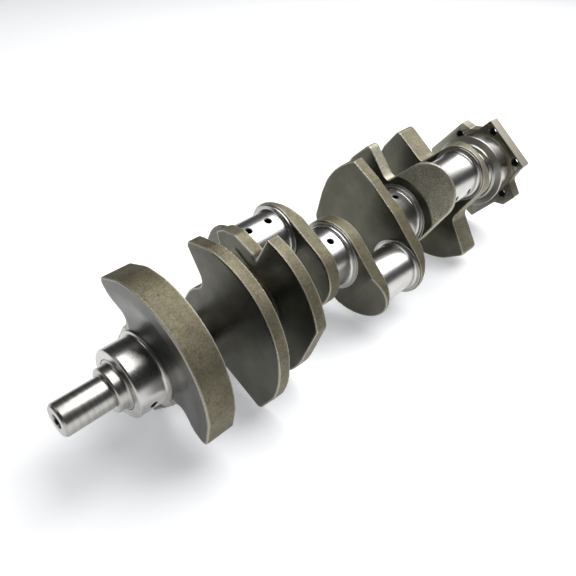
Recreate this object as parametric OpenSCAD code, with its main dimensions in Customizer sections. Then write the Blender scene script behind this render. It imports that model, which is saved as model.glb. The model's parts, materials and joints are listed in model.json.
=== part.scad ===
// V8 crankshaft, cross-plane, five main journals, four crankpins, six counterweights.
// Millimetres. X runs along the shaft with the nose toward +X. Z is up as the shaft lies at rest.
// The origin is the centre of the rear face of the flywheel flange.

/* [Shaft spacing] */
// distance from one pair of cylinders to the next
bore_spacing = 111.76; // [95:0.01:125]
// half of the piston stroke
throw = 46; // [38:0.5:52]
// turn of the shaft about its own axis as it lies, crankpin 4 above the horizontal
rest_roll = 51; // [0:1:90]

/* [Journals] */
// main bearing journal diameter
main_d = 62.2; // [55:0.1:70]
// main bearing journal length between thrust faces
main_len = 22.5; // [20:0.5:26]
// front main journal length
front_main_len = 25.5; // [22:0.5:30]
// rear main journal length
rear_main_len = 46; // [38:0.5:52]
// crankpin diameter, two connecting rods side by side
pin_d = 50.8; // [44:0.1:56]
// crankpin length
pin_len = 50.3; // [46:0.1:54]
// rolled fillet radius at each journal end
fillet_r = 2.4; // [1.5:0.1:3]

/* [Thrust pads] */
// machined pad radius beyond the main journal radius
main_pad_lip = 5.5; // [4:0.1:6.5]
// height of the main pad above the forged cheek
main_pad_h = 3; // [2:0.1:4]
// machined pad radius beyond the crankpin radius
pin_pad_lip = 5; // [3:0.1:6]
// height of the crankpin pad above the forged cheek
pin_pad_h = 1.6; // [1:0.1:3]

/* [Webs] */
// cheek radius round the main axis
hub_r = 38; // [37:0.5:41]
// cheek radius round the crankpin axis
boss_r = 32; // [31:0.5:34]
// counterweight outer radius
cw_r = 83; // [78:0.5:86]
// radius of the plain end opposite the pin on web 3
tail_3_r = 71; // [66:0.5:78]
// radius of the plain end opposite the pin on web 6
tail_6_r = 76; // [70:0.5:78]
// where the flat starts on the counterweights of webs 3 and 6, degrees round from the pin
weight_crease = 229; // [226:0.5:234]
// fillet where a counterweight meets the cheek
neck_r = 12; // [6:1:14]
// bevel on the main side of each cheek starts this far from the axis
bevel_from = 43; // [40:0.5:48]
// bevel slope, millimetres of depth for each millimetre outward
bevel_slope = 0.34; // [0.2:0.01:0.36]
// extra thickness of the rearmost web toward the flange
rear_web_extra = 12.4; // [6:0.1:16]
// slope of the bevel on the rearmost web
rear_bevel_slope = 0.58; // [0.4:0.01:0.62]
// front counterweight standing proud of web 1 toward the nose
cw1_proud_front = 2; // [0:0.5:3]
// front counterweight standing proud of web 1 toward the pin
cw1_proud_rear = 6; // [2:0.5:8]
// width of the clear ring round the hub on both sides of web 1
cw1_relief = 4; // [3:0.5:8]

/* [Nose] */
// damper seat diameter
snout_d = 28.8; // [26:0.1:34]
// damper seat length
snout_len = 42.3; // [36:0.1:60]
// timing gear seat diameter
collar_d = 39.6; // [36:0.1:46]
// timing gear seat length
collar_len = 10; // [8:0.5:16]
// threaded hole diameter in the nose
nose_hole_d = 10; // [8:0.5:12]
// threaded hole depth
nose_hole_depth = 36; // [30:1:40]
// wide mouth of the centre drilling
nose_cone_d = 13; // [12:0.5:15]

/* [Rear end] */
// flywheel flange thickness
flange_t = 14; // [11:0.5:16]
// bolt circle diameter
flange_pcd = 91; // [88:0.5:94]
// number of flange bolts, evenly spaced
flange_bolts = 6; // [6:1:6]
// flange bolt hole diameter
flange_hole_d = 10; // [9:0.5:11.5]
// pilot bore diameter
pilot_d = 38; // [32:0.5:40]
// pilot bore depth
pilot_depth = 22; // [18:0.5:26]
// rear seal land diameter
seal_d = 78; // [74:0.5:80]
// rear seal land length
seal_len = 26; // [22:0.5:28]
// oil slinger diameter
slinger_d = 89; // [86:0.5:94]
// oil slinger thickness
slinger_t = 7; // [5:0.5:9]

/* [Oil drillings] */
// oil drilling diameter
oil_d = 6; // [5:0.5:7]
// crankpin oil hole offset from the pin middle
oil_offset = 12.3; // [10:0.1:13]
// crankpin oil hole angle back from the pin direction
oil_back = 67; // [55:1:75]
// distance of each gallery's inner end from the middle of the main journal
oil_split = 2.5; // [2:0.1:4]

/* [Hidden] */
$fn = 96;
eps = 0.01;
main_r = main_d / 2;
pin_r = pin_d / 2;
web_t = (bore_spacing - pin_len - main_len) / 2;
x_slinger = flange_t + seal_len;
x_main5 = x_slinger + slinger_t;
x_cell4 = x_main5 + rear_main_len + rear_web_extra;
x_main1 = x_cell4 + 4 * bore_spacing - main_len;
x_collar = x_main1 + front_main_len;
x_snout = x_collar + collar_len;
x_tip = x_snout + snout_len;
steel = [0.62, 0.61, 0.58];
forged = [0.42, 0.40, 0.33];

// pin directions about the shaft axis, degrees from +Y toward +Z
function pin_angle(k) = k == 1 ? rest_roll + 180 : k == 2 ? rest_roll + 90 : k == 3 ? rest_roll - 90 : rest_roll;
// rear end of the space between two main journals
function cell_x(k) = x_cell4 + (4 - k) * bore_spacing;
// rear face of each main journal
function main_x(k) = k == 1 ? x_main1 : k == 5 ? x_main5 : cell_x(k) + 2 * web_t + pin_len;
function main_l(k) = k == 1 ? front_main_len : k == 5 ? rear_main_len : main_len;
function main_mid(k) = main_x(k) + main_l(k) / 2;
// direction of the oil hole in each main journal
function main_oil(k) = k == 1 ? -20 : k == 2 ? 60 : k == 3 ? 68 : k == 4 ? 80 : 75;

// flat outline in the plane across the shaft, pushed from x0 to x1
module across(x0, x1, turn = 0)
    translate([x0, 0, 0])
        rotate([90, 0, 90])
            linear_extrude(height = x1 - x0)
                rotate(turn)
                    children();

// round bar along the shaft
module bar(x0, x1, r)
    translate([x0, 0, 0])
        rotate([0, 90, 0])
            cylinder(h = x1 - x0, r = r);

// journal with a rolled fillet at each end, made by turning its profile
module journal(x0, len, r, fr)
    translate([x0, 0, 0])
        rotate([0, 90, 0])
            rotate_extrude()
                difference() {
                    square([r + fr, len]);
                    translate([r + fr, fr])
                        circle(r = fr);
                    translate([r + fr, len - fr])
                        circle(r = fr);
                    translate([r, fr])
                        square([fr + 1, len - 2 * fr]);
                }

// straight drilling between two points
module drill(p, q, d) {
    v = q - p;
    len = norm(v);
    translate(p)
        rotate([0, acos(v[2] / len), atan2(v[1], v[0])])
            cylinder(h = len, r = d / 2);
}

// point on the line of a crankpin oil hole, side +1 toward the nose and -1 toward the flange
function pin_mouth(k, side, r) =
    let (a = pin_angle(k), b = pin_angle(k) - oil_back, x = cell_x(k) + web_t + pin_len / 2 + side * oil_offset)
    [x, throw * cos(a) + r * cos(b), throw * sin(a) + r * sin(b)];

// oblique gallery between a crankpin and the main journal on one side of it, side +1 toward the nose
module gallery(k, side) {
    x = side > 0 ? main_mid(k) - oil_split : main_mid(k + 1) + oil_split;
    drill([x, 0, 0], pin_mouth(k, side, pin_r * 0.3), oil_d);
}

// the end of a gallery, square to the crankpin surface
module gallery_mouth(k, side)
    drill(pin_mouth(k, side, pin_r * 0.2), pin_mouth(k, side, pin_r + 4), oil_d);

// radial drilling from the surface of a main journal to its middle
module oil_feed(k) {
    a = main_oil(k);
    c = [main_mid(k), 0, 0];
    drill(c, c + (main_r + 4) * [0, cos(a), sin(a)], oil_d);
}

module main_journal(k)
    color(steel)
        difference() {
            if (k == 1)
                front_main_body();
            else
                journal(main_x(k), main_l(k), main_r, fillet_r);
            oil_feed(k);
            if (k > 1)
                gallery(k - 1, -1);
            if (k < 5)
                gallery(k, 1);
        }

// front main journal, filleted at the web and chamfered at the nose end
module front_main_body() {
    intersection() {
        journal(x_main1, front_main_len, main_r, fillet_r);
        bar(x_main1 - 1, x_main1 + front_main_len / 2, main_r + fillet_r + 1);
    }
    bar(x_main1 + front_main_len / 2, x_collar - 1.2, main_r);
    translate([x_collar - 1.2, 0, 0])
        rotate([0, 90, 0])
            cylinder(h = 1.2, r1 = main_r, r2 = main_r - 1.2);
}

module crankpin(k) {
    a = pin_angle(k);
    color(steel)
        difference() {
            translate([0, throw * cos(a), throw * sin(a)])
                journal(cell_x(k) + web_t, pin_len, pin_r, fillet_r);
            for (side = [-1, 1]) {
                gallery(k, side);
                gallery_mouth(k, side);
            }
        }
}

// cheek outline, pin toward +x of the outline
module cheek() {
    c = (hub_r - boss_r) / throw;
    s = sqrt(1 - c * c);
    hub = hub_r - 0.05;
    boss = boss_r - 0.05;
    circle(r = hub_r);
    translate([throw, 0])
        circle(r = boss_r);
    polygon([[hub * c, hub * s], [throw + boss * c, boss * s],
        [throw + boss * c, -boss * s], [hub * c, -hub * s]]);
}

// half of a counterweight on one side of the pin line, ending at an angle from the pin
module cw_half(side, tip, lean, r) {
    c0 = r * cos(tip - lean);
    f = neck_r;
    along = sqrt(pow(hub_r + f, 2) - pow(c0 + f, 2));
    n = [cos(lean), side * sin(lean)];
    d = [-sin(lean), side * cos(lean)];
    ctr = n * (c0 + f) + d * along;
    far = n * c0 + d * 150;
    near_u = c0 / cos(lean);
    intersection() {
        circle(r = r);
        polygon([[near_u, 0], far, [-150, side * 150], [-150, 0]]);
    }
    difference() {
        polygon([ctr * (hub_r - 1) / (hub_r + f), ctr, ctr - n * (f + 1), n * (c0 - 1) + d * along / 2]);
        translate(ctr)
            circle(r = f + 0.05);
    }
}

// counterweight outline from two halves
module cw(tip_a, lean_a, tip_b, lean_b) {
    cw_half(1, tip_a, lean_a, cw_r);
    cw_half(-1, tip_b, lean_b, cw_r);
}

// webs 3 and 6, a shoulder beside the pin, a plain tail and a counterweight to one side,
// with a flat running from the counterweight down to the tail
module side_weight(tail_r) {
    flat = weight_crease - acos(tail_r / cw_r);
    n = [cos(flat), sin(flat)];
    d = [-sin(flat), cos(flat)];
    intersection() {
        circle(r = cw_r);
        polygon([[0, 0], [24, -38], [35, -1.15 * cw_r], n * (tail_r - 0.3) + d * 60, n * (tail_r - 0.3)]);
    }
    intersection() {
        circle(r = tail_r);
        polygon([[0, 0], [-60.7, -56.6], [-78, -5], [-78, 33], [-39, hub_r], [0, hub_r]]);
    }
    polygon([[0, 0], [40, 0], [70, -20], [66, -31], [54, -41.5], [30, -48.5], [20, -38]]);
}

// bevel removed from the main side of a cheek beyond the hub
module bevel(x, slope)
    translate([x, 0, -70])
        linear_extrude(height = 140)
            polygon([[0, bevel_from], [slope * 60, bevel_from + 60], [-30, bevel_from + 60], [-30, bevel_from]]);

// web built outward from its main side at x = -extra to its pin side at x = web_t, pin toward +Y
// a and b set the counterweight back from x = 0 and from the pin side
module web_solid(kind, a, b, extra) {
    difference() {
        across(main_pad_h - extra, web_t - pin_pad_h)
            cheek();
        bevel(main_pad_h - extra, extra > 0 ? rear_bevel_slope : bevel_slope);
    }
    if (kind == 1)
        difference() {
            across(a, web_t - b)
                cw(106.5, 8.5, 110, 8.5);
            bar(a - 1, main_pad_h, hub_r + cw1_relief);
            bar(web_t - pin_pad_h, web_t - b + 1, hub_r + cw1_relief);
        }
    if (kind == 2)
        across(a, web_t - b)
            cw(83, 12.5, 122, 20);
    if (kind == 3)
        across(a, web_t - b)
            side_weight(tail_3_r);
    if (kind == 6)
        across(a, web_t - b)
            side_weight(tail_6_r);
    if (kind == 7)
        across(a, web_t - b)
            cw(73, -12, 114, 15);
    if (kind == 8)
        across(a, web_t - b)
            cw(82, 2, 99, 20);
    // main pad, then the pin pad
    bar(-extra, web_t / 2, main_r + main_pad_lip);
    translate([0, throw, 0])
        bar(web_t - pin_pad_h - 1, web_t, pin_r + pin_pad_lip);
}

module web(w, kind, a, b, extra = 0) {
    k = floor((w + 1) / 2);
    odd = w % 2;
    x0 = odd ? cell_x(k) + 2 * web_t + pin_len : cell_x(k);
    color(forged)
        difference() {
            translate([x0, 0, 0])
                mirror([odd, 0, 0])
                    rotate([pin_angle(k), 0, 0])
                        web_solid(kind, a, b, extra);
            gallery(k, odd ? 1 : -1);
        }
}

module nose_snout()
    color(steel)
        difference() {
            union() {
                bar(x_snout, x_tip - 2, snout_d / 2);
                translate([x_tip - 2, 0, 0])
                    rotate([0, 90, 0])
                        cylinder(h = 2, r1 = snout_d / 2, r2 = snout_d / 2 - 1.4);
            }
            bar(x_tip - nose_hole_depth, x_tip + 1, nose_hole_d / 2);
            translate([x_tip - 3, 0, 0])
                rotate([0, 90, 0])
                    cylinder(h = 3 + eps, r1 = nose_hole_d / 2 - eps, r2 = nose_cone_d / 2);
        }

module gear_seat_collar()
    color(steel)
        union() {
            bar(x_collar, x_snout - 1, collar_d / 2);
            translate([x_snout - 1, 0, 0])
                rotate([0, 90, 0])
                    cylinder(h = 1, r1 = collar_d / 2, r2 = collar_d / 2 - 1);
        }

module oil_slinger()
    color(steel)
        bar(x_slinger, x_main5, slinger_d / 2);

module rear_seal_land()
    color(steel)
        difference() {
            bar(flange_t, x_slinger, seal_d / 2);
            bar(flange_t - 1, pilot_depth, pilot_d / 2);
        }

// flange outline with scalloped sides, first axis along crankpin 2 and second along crankpin 4
module flange_outline()
    rotate(rest_roll + 90)
        mirror([0, 1])
            polygon([[35, 46], [-34, 46], [-35, 33], [-37, 22], [-39, 18], [-44.5, 14.5],
                [-59, 11.5], [-59, -7.5], [-54, -12], [-50, -16], [-48.5, -24], [-48.5, -57],
                [-44, -60], [0, -66], [44, -60], [55.6, -48], [55.6, 12], [43, 16.5], [36, 25], [35, 28]]);

module flywheel_flange()
    color(forged)
        difference() {
            across(0, flange_t)
                flange_outline();
            for (i = [0 : flange_bolts - 1])
                rotate([rest_roll + 90 + i * 360 / flange_bolts, 0, 0])
                    translate([0, flange_pcd / 2, 0])
                        bar(-1, flange_t + 1, flange_hole_d / 2);
            bar(-1, flange_t + 1, pilot_d / 2);
        }

nose_snout();
gear_seat_collar();
main_journal(1);  // main_journal_1
main_journal(2);  // main_journal_2
main_journal(3);  // main_journal_3
main_journal(4);  // main_journal_4
main_journal(5);  // main_journal_5
crankpin(1);  // crankpin_1
crankpin(2);  // crankpin_2
crankpin(3);  // crankpin_3
crankpin(4);  // crankpin_4
web(1, 1, -cw1_proud_front, -cw1_proud_rear);  // web_1
web(2, 2, 5.3, pin_pad_h);  // web_2
web(3, 3, 4.7, pin_pad_h);  // web_3
web(4, 0, 0, 0);  // web_4
web(5, 0, 0, 0);  // web_5
web(6, 6, 4.7, pin_pad_h);  // web_6
web(7, 7, 3, pin_pad_h);  // web_7
web(8, 8, main_pad_h - rear_web_extra, pin_pad_h, rear_web_extra);  // web_8
oil_slinger();
rear_seal_land();
flywheel_flange();
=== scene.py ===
"""Looks of a V8 crankshaft: forged webs, ground journals, a turned nose and a scalloped bolt flange."""
import json
from math import acos, ceil, cos, pi, radians, sin, sqrt, tan

import bmesh
import bpy
from mathutils import Matrix, Vector


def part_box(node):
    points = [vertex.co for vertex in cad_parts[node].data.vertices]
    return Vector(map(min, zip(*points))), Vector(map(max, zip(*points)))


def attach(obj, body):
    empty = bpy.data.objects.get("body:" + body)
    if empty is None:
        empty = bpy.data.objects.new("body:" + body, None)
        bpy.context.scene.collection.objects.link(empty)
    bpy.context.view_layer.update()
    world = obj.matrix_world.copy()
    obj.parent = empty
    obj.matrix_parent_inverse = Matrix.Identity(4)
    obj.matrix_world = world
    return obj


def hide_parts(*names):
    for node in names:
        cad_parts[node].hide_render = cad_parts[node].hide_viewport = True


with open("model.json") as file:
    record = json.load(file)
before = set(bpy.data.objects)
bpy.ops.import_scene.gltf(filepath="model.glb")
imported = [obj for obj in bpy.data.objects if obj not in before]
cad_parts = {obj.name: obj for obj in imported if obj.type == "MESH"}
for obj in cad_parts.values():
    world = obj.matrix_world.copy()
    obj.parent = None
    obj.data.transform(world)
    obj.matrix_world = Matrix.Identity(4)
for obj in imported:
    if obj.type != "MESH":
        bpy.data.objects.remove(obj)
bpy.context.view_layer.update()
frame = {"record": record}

# ---------------------------------------------------------------- sizes, in millimetres, from the frame
MM = 0.001
MOUNTS = {m["name"]: m for m in frame["record"]["mounts"]}


def ends(node):
    """Rear and front ends of a CAD node along the shaft."""
    low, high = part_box(node)
    return low.x / MM, high.x / MM


def mount_radius(name):
    return MOUNTS[name]["dims"]["r_mm"]


MAIN_R = mount_radius("front_main_journal")
PIN_R = mount_radius("crankpin_1_seat")
SNOUT_R = mount_radius("damper_seat")
COLLAR_R = mount_radius("gear_seat")
NOSE_HOLE_R = mount_radius("nose_thread")
PILOT_R = mount_radius("pilot_bore")
PILOT_DEPTH = MOUNTS["pilot_bore"]["dims"]["length_mm"]
BOLT_CIRCLE_R = MOUNTS["flywheel_bolts"]["dims"]["pcd_mm"] / 2
BOLT_HOLE_R = MOUNTS["flywheel_bolts"]["dims"]["hole_r_mm"]
BOLT_COUNT = MOUNTS["flywheel_bolts"]["dims"]["count"]
SLINGER_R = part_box("oil_slinger")[1].z / MM
SEAL_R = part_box("rear_seal_land")[1].z / MM
COUNTERWEIGHT_R = 83
FILLET_R = 2.4
MAIN_PAD_R = MAIN_R + 5.5
MAIN_PAD_H = 3
PIN_PAD_R = PIN_R + 5
PIN_PAD_H = 1.6
HUB_R = 38
BOSS_R = 32
NECK_R = 12
OIL_R = 3
NOSE_HOLE_DEPTH = 36
BEVEL_FROM = 43
BEVEL_SLOPE = 0.34
REAR_BEVEL_SLOPE = 0.58
CONE_FROM = 45
CONE_SLOPE = 0.38
FRONT_WEIGHT_PROUD = 6
SEAL_ROOT = 4
THREAD_PITCH = 1.25

# Halves of each counterweight as (side of the crankpin, angle to the tip, lean of its end), in degrees.
HALF_WEIGHTS = {
    1: [(1, 106.5, 8.5), (-1, 110, 8.5)],
    2: [(1, 83, 12.5), (-1, 122, 20)],
    7: [(1, 73, -12), (-1, 114, 15)],
    8: [(1, 82, 2), (-1, 99, 20)]}
TAIL_R = {3: 71, 6: 76}
WEIGHT_FROM = {1: -2, 2: 5.3, 3: 4.7, 6: 4.7, 7: MAIN_PAD_H, 8: MAIN_PAD_H}


def pin_place(k):
    """Crankpin k's axis as (throw, angle about the shaft from +Y toward +Z, in radians)."""
    spot = Vector(MOUNTS[f"crankpin_{k}_seat"]["pos_m"][1:]) / MM
    return spot.length, -Vector((1, 0)).angle_signed(spot)


THROW = pin_place(4)[0]


# ---------------------------------------------------------------- drawing and turning
def soft_line(corners):
    """Corners (a, b) or (a, b, radius) as points, where a corner with a radius becomes a tangent arc."""
    points = []
    for i, corner in enumerate(corners):
        here = Vector(corner[:2])
        radius = corner[2] if len(corner) > 2 else 0
        if not radius:
            points.append(here)
            continue
        before = (Vector(corners[i - 1][:2]) - here).normalized()
        after = (Vector(corners[(i + 1) % len(corners)][:2]) - here).normalized()
        half = before.angle(after) / 2
        centre = here + (before + after).normalized() * radius / sin(half)
        start = (here + before * radius / tan(half) - centre).normalized()
        end = (here + after * radius / tan(half) - centre).normalized()
        steps = max(3, ceil(start.angle(end) / radians(15)))
        points += [centre + start.slerp(end, n / steps) * radius for n in range(steps + 1)]
    return points


def loose(name, bm):
    """A bmesh in millimetres as an object in the scene."""
    bmesh.ops.scale(bm, vec=(MM, MM, MM), verts=bm.verts)
    mesh = bpy.data.meshes.new(name)
    bm.to_mesh(mesh)
    bm.free()
    piece = bpy.data.objects.new(name, mesh)
    bpy.context.scene.collection.objects.link(piece)
    return piece


def finished(name, bm, material, nodes=(), angle=32):
    """A bmesh as a shown piece that rides on the shaft and stands for CAD nodes."""
    piece = loose(name, bm)
    mesh = piece.data
    mesh.materials.append(material)
    mesh.shade_smooth()
    mesh.set_sharp_from_angle(angle=radians(angle))
    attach(piece, "root")
    if nodes:
        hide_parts(*nodes)
    return piece


def turned(profile, centre=(0, 0), steps=180):
    """Solid turned about a line along the shaft through centre, from (along, radius) points."""
    bm = bmesh.new()
    ring = [bm.verts.new((along, 0, radius)) for along, radius in profile]
    line = [bm.edges.new(pair) for pair in zip(ring, ring[1:])]
    bmesh.ops.spin(bm, geom=ring + line, cent=(0, 0, 0), axis=(1, 0, 0), angle=2 * pi, steps=steps,
                   use_merge=True, use_duplicate=False)
    bmesh.ops.remove_doubles(bm, verts=bm.verts, dist=1e-4)
    bmesh.ops.recalc_face_normals(bm, faces=bm.faces)
    bmesh.ops.translate(bm, vec=(0, *centre), verts=bm.verts)
    return bm


def applied(piece):
    """Makes a piece's modifiers part of its mesh."""
    graph = bpy.context.evaluated_depsgraph_get()
    mesh = bpy.data.meshes.new_from_object(piece.evaluated_get(graph))
    mesh.name = piece.name
    piece.modifiers.clear()
    piece.data = mesh
    return piece


def cut_away(piece, cutters, angle=32):
    """Cuts bmesh shapes, in millimetres, out of a finished piece."""
    for bm in cutters:
        cutter = loose("cutter", bm)
        cut = piece.modifiers.new("cut", "BOOLEAN")
        cut.operation = "DIFFERENCE"
        cut.solver = "EXACT"
        cut.object = cutter
        applied(piece)
        bpy.data.objects.remove(cutter)
    piece.data.shade_smooth()
    piece.data.set_sharp_from_angle(angle=radians(angle))
    return piece


def oil_hole(along, axis, angle, surface_r):
    """Cutter for a radial oil hole with a polished mouth, at an angle about the line through axis."""
    bm = turned(soft_line([
        (surface_r - 12, 0), (surface_r - 12, OIL_R), (surface_r - 1.1, OIL_R, 1.2),
        (surface_r + 0.9, OIL_R + 1.9), (surface_r + 6, OIL_R + 1.9), (surface_r + 6, 0)]), steps=48)
    turn = Matrix.Rotation(angle, 4, "X") @ Matrix.Rotation(radians(90), 4, "Z")
    bmesh.ops.transform(bm, matrix=Matrix.Translation((along, *axis)) @ turn, verts=bm.verts)
    return bm


# ---------------------------------------------------------------- finishes
class Wire:
    """A shader socket that takes Python's arithmetic."""

    def __init__(self, finish, socket):
        self.finish = finish
        self.socket = socket

    def maths(self, operation, *values):
        made = self.finish.node("ShaderNodeMath", {"operation": operation}, dict(enumerate(values)))
        return Wire(self.finish, made.outputs[0])

    def __add__(self, other):
        return self.maths("ADD", self, other)

    def __radd__(self, other):
        return self.maths("ADD", other, self)

    def __sub__(self, other):
        return self.maths("SUBTRACT", self, other)

    def __rsub__(self, other):
        return self.maths("SUBTRACT", other, self)

    def __mul__(self, other):
        return self.maths("MULTIPLY", self, other)

    def __rmul__(self, other):
        return self.maths("MULTIPLY", other, self)

    def __pow__(self, other):
        return self.maths("POWER", self, other)

    def __abs__(self):
        return self.maths("ABSOLUTE", self)

    def step(self, low, high):
        """0 below low, 1 above high and smooth between them; the other way round if low is the larger."""
        made = self.finish.node("ShaderNodeMapRange", {"interpolation_type": "SMOOTHSTEP"},
                                {"Value": self, "From Min": low, "From Max": high})
        return Wire(self.finish, made.outputs[0])


class Finish:
    """A material whose shader is made from expressions."""

    def __init__(self, name):
        self.material = bpy.data.materials.new(name)
        self.material.use_nodes = True
        self.nodes = self.material.node_tree.nodes
        self.links = self.material.node_tree.links
        self.shader = self.nodes["Principled BSDF"]
        self.place = self.node("ShaderNodeTexCoord").outputs["Object"]

    def node(self, kind, settings=None, sockets=None):
        made = self.nodes.new(kind)
        for key, value in (settings or {}).items():
            setattr(made, key, value)
        for key, value in (sockets or {}).items():
            self.join(made.inputs[key], value)
        return made

    def join(self, socket, value):
        if isinstance(value, Wire):
            self.links.new(value.socket, socket)
        elif isinstance(value, bpy.types.NodeSocket):
            self.links.new(value, socket)
        else:
            socket.default_value = value

    def wire(self, kind, output, settings=None, sockets=None):
        return Wire(self, self.node(kind, settings, sockets).outputs[output])

    def grain(self, size, detail=2.0, stretch=None):
        """Noise from 0 to 1 whose lumps are about size millimetres across."""
        place = self.place
        if stretch:
            place = self.node("ShaderNodeMapping", None, {"Vector": place, "Scale": stretch}).outputs[0]
        return self.wire("ShaderNodeTexNoise", 0, None,
                         {"Vector": place, "Scale": 1 / (size * MM), "Detail": detail})

    def blend(self, mask, first, second):
        """Colour first where mask is 0 and second where it is 1."""
        made = self.node("ShaderNodeMix", {"data_type": "RGBA"}, {0: mask, 6: first, 7: second})
        return Wire(self, made.outputs[2])

    def bump(self, height, depth_mm, strength=1.0):
        made = self.node("ShaderNodeBump", None,
                         {"Height": height, "Distance": depth_mm * MM, "Strength": strength})
        return Wire(self, made.outputs[0])

    def done(self, **sockets):
        for key, value in sockets.items():
            self.join(self.shader.inputs[key.replace("_", " ")], value)
        return self.material


def colour(red, green, blue):
    return (red, green, blue, 1)


# Each pair is a darker and a lighter colour that a finish drifts between.
OLIVE = ((0.165, 0.148, 0.097), (0.215, 0.193, 0.129))
PALE_OLIVE = ((0.24, 0.221, 0.158), (0.31, 0.287, 0.208))
# Web 7's skin is rougher. It is also much paler, as a painted highlight, because its rims and slopes face up
# toward the top light.
LIT_COARSE_SKIN = ((0.44, 0.42, 0.335), (0.57, 0.545, 0.44))
# Flank steel: its own darker tone, made darker still as painted shade for the gaps between the webs.
FLANK_WITH_GAP_SHADE = ((0.080, 0.079, 0.060), (0.110, 0.107, 0.084))
FRONT_FLANK = ((0.105, 0.103, 0.091), (0.135, 0.132, 0.118))
EVERYWHERE_R = 400


def forged_finish(name, flat_above=0.93, rims=OLIVE, flanks=FLANK_WITH_GAP_SHADE):
    """Blasted forging: smoother darker flanks, lighter olive rims with grain and small dark pits, and
    lightened sharp edges.
    The default flank colour is partly the steel's own darker tone and partly painted shade for the gaps
    between webs. The lightened edges are partly worn bare metal and partly a painted highlight.
    Faces whose normal lies along the shaft by more than flat_above are flanks."""
    f = Finish(name)
    normal = f.node("ShaderNodeNewGeometry").outputs["Normal"]
    facing = f.wire("ShaderNodeSeparateXYZ", 0, None, {0: normal})
    rim = abs(facing).step(flat_above, flat_above - 0.05)
    cloud = f.grain(22, 3)
    blotch = f.grain(6, 4)
    fine = f.grain(1.5, 4)
    pits = f.grain(2.2, 3).step(0.66, 0.74)
    # Sharp edges, picked by pointiness, are lightened. This is partly bare worn metal and partly a painted
    # highlight along the edges.
    worn_edge_highlight = f.wire("ShaderNodeNewGeometry", "Pointiness").step(0.508, 0.545)
    flank = f.blend(cloud.step(0.3, 0.7), colour(*flanks[0]), colour(*flanks[1]))
    skin = f.blend(cloud.step(0.35, 0.7), colour(*rims[0]), colour(*rims[1]))
    skin = f.blend(blotch.step(0.45, 0.75) * 0.5, skin, colour(*(0.72 * level for level in rims[0])))
    both = f.blend(rim, flank, skin)
    both = f.blend(fine.step(0.35, 0.7) * rim * 0.48, both, colour(0.07, 0.062, 0.043))
    both = f.blend(pits * rim * 0.7, both, colour(0.05, 0.045, 0.035))
    both = f.blend(worn_edge_highlight * 0.75, both, colour(0.50, 0.47, 0.40))
    rough = 0.25 + rim * 0.28 + blotch * 0.1 - worn_edge_highlight * 0.08
    height = fine * (0.25 + rim * 0.75) + blotch * 0.6 - pits * rim * 0.8
    return f.done(Base_Color=both, Metallic=0.85, Roughness=rough, Normal=f.bump(height, 0.16, 0.7))


def bore_mask(f, axis, radius, before):
    """1 inside a hole: nearer the axis than radius and short of before along the shaft, in millimetres."""
    place = f.node("ShaderNodeSeparateXYZ", None, {0: f.place})
    across = Wire(f, place.outputs[1]) - axis[0] * MM
    upward = Wire(f, place.outputs[2]) - axis[1] * MM
    along = Wire(f, place.outputs[0])
    near = ((across * across + upward * upward) ** 0.5).step((radius + 0.1) * MM, (radius - 1.2) * MM)
    return near * along.step((before + 0.1) * MM, (before - 0.1) * MM)


def ground_finish(name, axis=(0, 0), inner_r=0, before=0):
    """Ground and polished journal, with the bore below inner_r from its axis painted near-black as painted
    shade inside the oil hole.
    """
    f = Finish(name)
    rings = f.grain(0.5, 2, (1, 0.02, 0.02))
    sweep = f.grain(14, 2, (0.25, 1, 1))
    metal = f.blend(sweep.step(0.3, 0.7), colour(0.50, 0.49, 0.47), colour(0.58, 0.57, 0.55))
    rough = 0.23 + rings * 0.04 + sweep * 0.05
    if inner_r:
        # The oil hole's bore is painted near-black: painted shade inside the hole.
        bore_shade = bore_mask(f, axis, inner_r, before)
        metal = f.blend(bore_shade, metal, colour(0.02, 0.02, 0.018))
        rough = rough + bore_shade * 0.5
    return f.done(Base_Color=metal, Metallic=1.0, Roughness=rough, Normal=f.bump(rings, 0.0006, 0.4))


def thread_finish():
    """Thread down a bolt hole, in near-black colours that are painted shade inside the hole, with lighter and
    darker patches.
    """
    f = Finish("thread_steel")
    thread_patches = f.grain(2.5, 3).step(0.35, 0.7)
    # Near-black colours: painted shade down the bolt hole.
    metal = f.blend(thread_patches, colour(0.035, 0.034, 0.03), colour(0.075, 0.072, 0.062))
    return f.done(Base_Color=metal, Metallic=0.9, Roughness=0.4 + thread_patches * 0.15)


def turned_finish():
    """Fine turned surface with faint tool marks round it. The nose's threaded hole is painted near-black as
    painted shade.
    """
    f = Finish("turned_steel")
    marks = f.grain(0.35, 1, (1, 0.01, 0.01))
    bands = f.grain(3.0, 1, (1, 0.02, 0.02))
    metal = f.blend(bands.step(0.3, 0.7), colour(0.43, 0.42, 0.39), colour(0.52, 0.51, 0.475))
    rough = 0.22 + marks * 0.12 + bands * 0.05
    rear, tip = ends("nose_snout")
    # The threaded hole in the nose is painted near-black: painted shade inside the hole.
    bore = bore_mask(f, (0, 0), NOSE_HOLE_R + 1.6, tip - 0.5)
    bore = bore * (1 - bore_mask(f, (0, 0), EVERYWHERE_R, rear))
    metal = f.blend(bore, metal, colour(0.03, 0.03, 0.027))
    cut = f.bump(marks + bands * 0.5, 0.002, 0.5)
    return f.done(Base_Color=metal, Metallic=1.0, Roughness=rough, Normal=cut)


FORGED = forged_finish("forged_steel")
# Web 7: nearly every face counts as rim and takes the pale skin, which is a painted highlight on its
# up-facing faces.
FORGED_LIT_COARSE = forged_finish("forged_steel_coarse", 0.99, LIT_COARSE_SKIN)
FORGED_REAR = forged_finish("forged_steel_rear", rims=PALE_OLIVE)
FORGED_FRONT = forged_finish("forged_steel_front", flanks=FRONT_FLANK)
TURNED = turned_finish()
THREAD = thread_finish()
GROUND = ground_finish("ground_steel")


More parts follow.
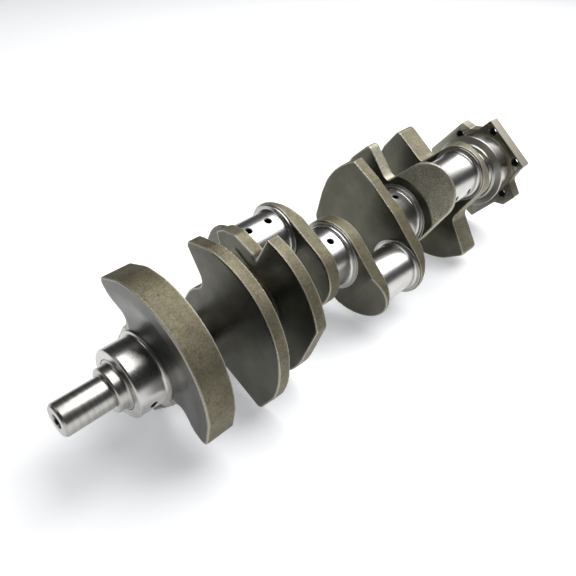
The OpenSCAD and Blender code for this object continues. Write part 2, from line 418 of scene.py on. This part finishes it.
# ---------------------------------------------------------------- nose
def make_nose():
    rear, tip = ends("nose_snout")
    hole = NOSE_HOLE_R
    hole_end = tip - NOSE_HOLE_DEPTH
    profile = soft_line([
        (rear - 1, 0), (rear - 1, SNOUT_R - 0.6), (rear + 1.2, SNOUT_R - 0.6), (rear + 1.2, SNOUT_R, 0.3),
        (tip - 2, SNOUT_R, 0.8), (tip, SNOUT_R - 1.6, 0.4), (tip, 6.5, 0.3), (tip - 3, hole),
        (tip - 6, hole), (hole_end, hole), (hole_end - 3, 0)])
    snout = finished("nose_snout_turned", turned(profile), TURNED, ["nose_snout"])

    rear, front = ends("gear_seat_collar")
    profile = soft_line([
        (rear - 1, 0), (rear - 1, COLLAR_R + 3), (rear, COLLAR_R + 3), (rear, COLLAR_R, 2.4),
        (front - 1.2, COLLAR_R, 0.8), (front - 0.1, COLLAR_R - 1.2, 0.4), (front, SNOUT_R + 1.8, 0.3),
        (front - 0.7, SNOUT_R), (front - 0.7, 0)])
    collar = finished("gear_seat_collar_turned", turned(profile), TURNED, ["gear_seat_collar"])


# ---------------------------------------------------------------- journals
MAIN_OIL_ANGLES = {1: -20, 2: 60, 3: 68, 4: 80, 5: 75}
PIN_OIL_OFFSET = 12.3
PIN_OIL_BACK = radians(67)


def journal_profile(rear, front, radius):
    return soft_line([
        (rear - 0.5, 0), (rear - 0.5, radius + FILLET_R), (rear, radius + FILLET_R), (rear, radius, FILLET_R),
        (front, radius, FILLET_R), (front, radius + FILLET_R), (front + 0.5, radius + FILLET_R),
        (front + 0.5, 0)])


def make_main(k):
    rear, front = ends(f"main_journal_{k}")
    metal = ground_finish(f"ground_main_{k}", (0, 0), MAIN_R, (rear + front) / 2 + 6)
    profile = journal_profile(rear, front, MAIN_R)
    if k == 1:
        profile = soft_line([
            (rear - 0.5, 0), (rear - 0.5, MAIN_R + FILLET_R), (rear, MAIN_R + FILLET_R),
            (rear, MAIN_R, FILLET_R),
            (front, MAIN_R, 2.2), (front, COLLAR_R - 1), (front, 0)])
    journal = finished(f"main_journal_{k}_ground", turned(profile), metal, [f"main_journal_{k}"])
    cut_away(journal, [oil_hole((rear + front) / 2, (0, 0), radians(MAIN_OIL_ANGLES[k]), MAIN_R)])


def make_crankpin(k):
    rear, front = ends(f"crankpin_{k}")
    throw, angle = pin_place(k)
    axis = (throw * cos(angle), throw * sin(angle))
    metal = ground_finish(f"ground_pin_{k}", axis, PIN_R, front - 3)
    body = turned(journal_profile(rear, front, PIN_R), axis)
    pin = finished(f"crankpin_{k}_ground", body, metal, [f"crankpin_{k}"])
    middle = (rear + front) / 2
    cut_away(pin, [oil_hole(middle + offset, axis, angle - PIN_OIL_BACK, PIN_R)
                   for offset in (-PIN_OIL_OFFSET, PIN_OIL_OFFSET)])


# ---------------------------------------------------------------- webs
# A web is drawn in its own space: along from its main journal side (0) to its crankpin side,
# toward the crankpin, and a quarter turn on from the crankpin.
def disc(along_from, along_to, radius, toward=0.0, clip=()):
    """Round slab, trimmed to the inside of a convex outline of (toward, quarter) corners."""
    bm = bmesh.new()
    bmesh.ops.create_circle(bm, cap_ends=True, segments=160, radius=radius)
    bmesh.ops.rotate(bm, matrix=Matrix.Rotation(radians(90), 3, "Y"), verts=bm.verts)
    bmesh.ops.translate(bm, vec=(along_from, toward, 0), verts=bm.verts)
    thicken(bm, along_to - along_from)
    for (a, b), (c, d) in zip(clip, clip[1:] + clip[:1]):
        trim(bm, (0, a, b), (0, b - d, c - a))
    return bm


def thicken(bm, depth):
    grown = bmesh.ops.extrude_face_region(bm, geom=list(bm.faces), use_keep_orig=True)["geom"]
    bmesh.ops.translate(bm, vec=(depth, 0, 0), verts=[g for g in grown if isinstance(g, bmesh.types.BMVert)])
    bmesh.ops.recalc_face_normals(bm, faces=bm.faces)


def trim(bm, spot, outward):
    """Cuts off what lies outward of a plane through spot and closes the cut."""
    cut = bmesh.ops.bisect_plane(bm, geom=bm.verts[:] + bm.edges[:] + bm.faces[:], dist=1e-5,
                                 plane_co=spot, plane_no=outward, clear_outer=True)["geom_cut"]
    edges = [g for g in cut if isinstance(g, bmesh.types.BMEdge)]
    if edges:
        bmesh.ops.contextual_create(bm, geom=edges)
        bmesh.ops.recalc_face_normals(bm, faces=bm.faces)


def plate(along_from, along_to, outline):
    """Slab with a drawn outline of (toward, quarter) points."""
    bm = bmesh.new()
    bm.faces.new([bm.verts.new((along_from, *point)) for point in outline])
    thicken(bm, along_to - along_from)
    return bm


def cheek(along_from, along_to, bevel_slope):
    """The three shells of a cheek, with the slope that runs off its main side beyond the hub."""
    c = (HUB_R - BOSS_R) / THROW
    s = sqrt(1 - c * c)
    flanks = [(HUB_R * c, HUB_R * s), (THROW + BOSS_R * c, BOSS_R * s),
              (THROW + BOSS_R * c, -BOSS_R * s), (HUB_R * c, -HUB_R * s)]
    shells = [disc(along_from, along_to, HUB_R), disc(along_from, along_to, BOSS_R, THROW),
              plate(along_from, along_to, flanks)]
    if bevel_slope:
        for shell in shells:
            trim(shell, (along_from, BEVEL_FROM, 0), (-1, bevel_slope, 0))
    return shells


def half_weight(side, tip, lean, along_from, along_to, flat=21):
    """Half a counterweight, with the flat near its tip and the neck that joins it to the hub."""
    tip, lean, flat = radians(tip), radians(lean), radians(flat)
    level = COUNTERWEIGHT_R * cos(tip - lean)
    outward = Vector((cos(lean), side * sin(lean)))
    beside = Vector((-sin(lean), side * cos(lean)))
    rim = [pi - n * (pi - tip - flat) / 40 for n in range(41)]
    reach = sqrt((HUB_R + NECK_R) ** 2 - (level + NECK_R) ** 2)
    centre = outward * (level + NECK_R) + beside * reach
    start, end = -outward, (-centre).normalized()
    neck = [centre + start.slerp(end, n / 12) * NECK_R for n in range(13)]
    corners = [(COUNTERWEIGHT_R * cos(turn), side * COUNTERWEIGHT_R * sin(turn)) for turn in rim]
    corners += [(COUNTERWEIGHT_R * cos(tip), side * COUNTERWEIGHT_R * sin(tip), 5)]
    corners += [tuple(point) for point in neck]
    corners += [tuple(centre * 0.5), (0, -side * 2), (-COUNTERWEIGHT_R + 0.1, -side * 2)]
    return plate(along_from, along_to, soft_line(corners))


def side_weight(tail_r, along_from, along_to, crease=229):
    """Counterweight to one side with a flat running from crease down to the plain tail, and a shoulder."""
    flat = radians(crease) - acos(tail_r / COUNTERWEIGHT_R)
    outward = Vector((cos(flat), sin(flat)))
    sector = disc(along_from, along_to, COUNTERWEIGHT_R,
                  clip=[(0, 0), (24, -38), (35, -95), (-95, -95), tuple(outward * 100)])
    trim(sector, (0, *(outward * tail_r)), (0, *outward))
    tail = disc(along_from, along_to, tail_r,
                clip=[(0, 0), (-60.7, -56.6), (-78, -5), (-78, 33), (-39, HUB_R), (0, HUB_R)])
    shoulder = soft_line([
        (0, 0), (40, 0), (70, -20, 3), (66, -31, 5), (54, -41.5, 8), (30, -48.5, 6), (20, -38)])
    return [sector, tail, plate(along_from, along_to, shoulder)]


def web_shells(number, depth):
    """Every overlapping shell of a web."""
    pin_face = depth - PIN_PAD_H
    if number == 7:
        shells = [coned(cheek(MAIN_PAD_H, pin_face, 0))]
    else:
        shells = cheek(MAIN_PAD_H, pin_face, REAR_BEVEL_SLOPE if number == 8 else BEVEL_SLOPE)
    if number in HALF_WEIGHTS:
        end = depth + FRONT_WEIGHT_PROUD if number == 1 else pin_face
        shells += [half_weight(*half, WEIGHT_FROM[number], end) for half in HALF_WEIGHTS[number]]
    elif number in TAIL_R:
        shells += side_weight(TAIL_R[number], WEIGHT_FROM[number], pin_face)
    return shells


def web_place(number):
    """Depth of a web between its journals, and the matrix from web space to the shaft."""
    cell = (number + 1) // 2
    odd = number % 2 == 1
    pin_rear, pin_front = ends(f"crankpin_{cell}")
    main_x = ends(f"main_journal_{cell}")[0] if odd else ends(f"main_journal_{cell + 1}")[1]
    pin_x = pin_front if odd else pin_rear
    flip = Matrix.Diagonal((-1 if odd else 1, 1, 1, 1))
    turn = Matrix.Rotation(pin_place(cell)[1], 4, "X")
    return abs(main_x - pin_x), Matrix.Translation((main_x, 0, 0)) @ turn @ flip


def joined(shells, matrix):
    """Shells as one bmesh, placed by matrix."""
    whole = bmesh.new()
    for shell in shells:
        mesh = bpy.data.meshes.new("shell")
        shell.to_mesh(mesh)
        shell.free()
        whole.from_mesh(mesh)
        bpy.data.meshes.remove(mesh)
    bmesh.ops.transform(whole, matrix=matrix, verts=whole.verts)
    if matrix.determinant() < 0:
        bmesh.ops.reverse_faces(whole, faces=whole.faces)
    return whole


def fuse(piece):
    """Overlapping shells as one skin."""
    remesh = piece.modifiers.new("fuse", "REMESH")
    remesh.mode = "VOXEL"
    remesh.voxel_size = 1 * MM
    applied(piece)


def coned(shells):
    """The cheek less a cone about the shaft that leaves its main side flat out to CONE_FROM."""
    piece = loose("cheek", joined(shells, Matrix()))
    fuse(piece)
    reach = 90
    cut_away(piece, [turned([
        (-5, 0), (-5, reach), (MAIN_PAD_H + (reach - CONE_FROM) * CONE_SLOPE, reach), (MAIN_PAD_H, CONE_FROM),
        (MAIN_PAD_H - 1, CONE_FROM - 1), (MAIN_PAD_H - 1, 0)], steps=160)])
    bm = bmesh.new()
    bm.from_mesh(piece.data)
    bmesh.ops.scale(bm, vec=(1 / MM, 1 / MM, 1 / MM), verts=bm.verts)
    bpy.data.objects.remove(piece)
    return bm


def forged(name, shells, matrix, nodes, cuts, finish):
    """Shells fused into one skin, less the cuts, with the soft edges of a forging."""
    piece = finished(name, joined(shells, matrix), finish, nodes, angle=180)
    fuse(piece)
    cut_away(piece, [joined([cut], matrix) for cut in cuts])
    soften = piece.modifiers.new("soften", "SMOOTH")
    soften.factor = 0.5
    soften.iterations = 4
    applied(piece)
    piece.data.materials.clear()
    piece.data.materials.append(finish)
    piece.data.shade_smooth()


def make_web(number):
    depth, matrix = web_place(number)
    cuts = []
    if number == 1:
        dish = [(-0.2 + 1.9 * cos(n * pi / 10), 42 + 3.2 * n) for n in range(11)]
        cuts.append(turned([(-8, 0), (-8, 74)] + dish[::-1] + [(1.7, 0)], steps=96))
    finish = {1: FORGED_FRONT, 7: FORGED_LIT_COARSE, 8: FORGED_REAR}.get(number, FORGED)
    forged(f"web_{number}_forging", web_shells(number, depth), matrix, [f"web_{number}"], cuts, finish)
    main_pad = turned(soft_line([
        (0, 0), (0, MAIN_R + FILLET_R + 0.5, 0.3), (2.0, MAIN_R + FILLET_R + 0.8, 0.5),
        (2.1, MAIN_PAD_R, 0.4), (9, MAIN_PAD_R), (9, 0)]))
    pin_pad = turned(soft_line([
        (depth, 0), (depth, PIN_PAD_R, 0.4), (depth - 5, PIN_PAD_R), (depth - 5, 0)]), (THROW, 0))
    for place, pad in (("main", main_pad), ("pin", pin_pad)):
        bmesh.ops.transform(pad, matrix=matrix, verts=pad.verts)
        bmesh.ops.recalc_face_normals(pad, faces=pad.faces)
        piece = finished(f"web_{number}_{place}_pad", pad, TURNED)


# ---------------------------------------------------------------- rear end
def make_rear():
    rear, front = ends("oil_slinger")
    profile = soft_line([
        (rear, 0), (rear, SLINGER_R - 1, 0.5), (rear + 1, SLINGER_R, 0.5), (front - 3, SLINGER_R, 0.6),
        (front - 2.6, MAIN_R + 5, 1), (front, MAIN_R + 4, 1), (front, 0)])
    slinger = finished("oil_slinger_turned", turned(profile), TURNED, ["oil_slinger"])
    rear, front = ends("rear_seal_land")
    profile = soft_line([
        (rear + SEAL_ROOT - 1, 0), (rear + SEAL_ROOT - 1, SEAL_R - 1), (rear + SEAL_ROOT, SEAL_R - 0.4, 0.5),
        (rear + SEAL_ROOT + 0.5, SEAL_R), (front, SEAL_R), (front, 0)])
    land = finished("rear_seal_land_ground", turned(profile), GROUND, ["rear_seal_land"])
    sweep = [(rear + SEAL_ROOT * (1 - sin(n * pi / 20)), SEAL_R - 0.5 + 3.2 * (1 - cos(n * pi / 20)))
             for n in range(11)]
    profile = [(PILOT_DEPTH, 0), (PILOT_DEPTH, PILOT_R), (rear, PILOT_R), (rear - 0.2, SEAL_R + 2.7)]
    profile += sweep[::-1] + [(rear + SEAL_ROOT, 0)]
    blend = finished("rear_seal_land_root", turned(profile), FORGED)


FLANGE_OUTLINE = [
    (35, 46, 2), (-34, 46, 2), (-35, 33, 4), (-39, 18, 6), (-59, 11.5, 2), (-59, -7.5, 2), (-50, -16, 6),
    (-48.5, -57, 2), (0, -66, 30), (44, -60, 3), (55.6, -48, 3), (55.6, 12, 3), (43, 16.5, 5), (36, 25, 4)]


def bolt_spots():
    """Centres of the bolt holes, the first in line with crankpin 2."""
    angles = [pin_place(2)[1] + n * 2 * pi / BOLT_COUNT for n in range(BOLT_COUNT)]
    return [(BOLT_CIRCLE_R * cos(angle), BOLT_CIRCLE_R * sin(angle)) for angle in angles]


def thread(rear, front, spot):
    """The thread on the wall of one bolt hole."""
    start = rear + 0.8
    wall = [(start, BOLT_HOLE_R + 0.4), (start, BOLT_HOLE_R - 0.1)]
    for n in range(int((front - rear - 1.5) / THREAD_PITCH)):
        wall += [(start + (n + 0.5) * THREAD_PITCH, BOLT_HOLE_R - 0.7),
                 (start + (n + 1) * THREAD_PITCH, BOLT_HOLE_R - 0.1)]
    wall += [(wall[-1][0], BOLT_HOLE_R + 0.4), wall[0]]
    return turned(wall, spot, steps=48)


def make_flange():
    rear, front = ends("flywheel_flange")
    outline = soft_line(FLANGE_OUTLINE)
    turn = Matrix.Rotation(pin_place(2)[1], 4, "X") @ Matrix.Diagonal((1, 1, -1, 1))
    bm = joined([plate(rear, front, outline)], turn)
    bmesh.ops.recalc_face_normals(bm, faces=bm.faces)
    flange = finished("flywheel_flange_forging", bm, FORGED, ["flywheel_flange"])
    cutters = [turned([(rear - 2, 0), (rear - 2, PILOT_R), (front + 2, PILOT_R), (front + 2, 0)], steps=128)]
    for spot in bolt_spots():
        cutters.append(turned([
            (rear - 2, 0), (rear - 2, BOLT_HOLE_R), (front - 0.6, BOLT_HOLE_R),
            (front + 0.4, BOLT_HOLE_R + 1),
            (front + 2, BOLT_HOLE_R + 1), (front + 2, 0)], spot, steps=48))
    cut_away(flange, cutters)
    threads = joined([thread(rear, front, spot) for spot in bolt_spots()], Matrix())
    finished("flywheel_flange_threads", threads, THREAD)
    soften = flange.modifiers.new("edges", "BEVEL")
    soften.width = 0.7 * MM
    soften.segments = 3
    soften.limit_method = "ANGLE"
    soften.angle_limit = radians(40)
    soften.harden_normals = True
    applied(flange)


make_nose()
for k in range(1, 6):
    make_main(k)
for k in range(1, 5):
    make_crankpin(k)
for number in range(1, 9):
    make_web(number)
make_rear()
make_flange()


# ---------------------------------------------------------------- camera, floor and lights
def look(azimuth, elevation):
    """Direction from what is looked at back to the viewer."""
    a, e = radians(azimuth), radians(elevation)
    return Vector((sin(a) * cos(e), -cos(a) * cos(e), sin(e)))


def make_camera():
    data = bpy.data.cameras.new("camera")
    data.lens = 39.46
    data.sensor_width = 36
    data.clip_end = 50
    camera = bpy.data.objects.new("camera", data)
    bpy.context.scene.collection.objects.link(camera)
    back = look(134.39, 37.16)
    camera.location = Vector((0.3721, 0.0078, 0)) + back * 0.5943
    camera.rotation_mode = "QUATERNION"
    camera.rotation_quaternion = (-back).to_track_quat("-Z", "Y")
    bpy.context.scene.camera = camera


def make_floor():
    """A sweep that touches the rear counterweights and the foremost crankpin's cheek."""
    finish = Finish("floor")
    finish.done(Base_Color=colour(0.86, 0.86, 0.86), Roughness=0.75, Specular_IOR_Level=0.2,
                Emission_Color=colour(0.94, 0.96, 1.0), Emission_Strength=0.38)
    bm = bmesh.new()
    bmesh.ops.create_grid(bm, x_segments=1, y_segments=1, size=9)
    slope = 15.3 / 370
    bmesh.ops.rotate(bm, matrix=Matrix.Rotation(-slope, 3, "Y"), verts=bm.verts)
    bmesh.ops.translate(bm, vec=(0.115, 0, -0.0833), verts=bm.verts)
    mesh = bpy.data.meshes.new("floor")
    bm.to_mesh(mesh)
    bm.free()
    floor = bpy.data.objects.new("floor", mesh)
    bpy.context.scene.collection.objects.link(floor)
    mesh.materials.append(finish.material)


def softbox(name, azimuth, elevation, distance, width, height, watts, shade=(1, 1, 1)):
    data = bpy.data.lights.new(name, "AREA")
    data.shape = "RECTANGLE"
    data.size = width
    data.size_y = height
    data.energy = watts
    data.color = shade
    light = bpy.data.objects.new(name, data)
    bpy.context.scene.collection.objects.link(light)
    back = look(azimuth, elevation)
    light.location = Vector((0.3, 0, 0)) + back * distance
    light.rotation_mode = "QUATERNION"
    light.rotation_quaternion = (-back).to_track_quat("-Z", "Y")


make_camera()
make_floor()
softbox("top_light", 262, 62, 1.8, 2.0, 2.0, 54)
softbox("front_light", 60, 40, 2.2, 0.8, 0.8, 3)
world = bpy.data.worlds.new("studio")
world.use_nodes = True
world.node_tree.nodes["Background"].inputs[0].default_value = (0.5, 0.51, 0.53, 1)
world.node_tree.nodes["Background"].inputs[1].default_value = 0.08
bpy.context.scene.world = world
bpy.context.scene.view_settings.view_transform = "Standard"
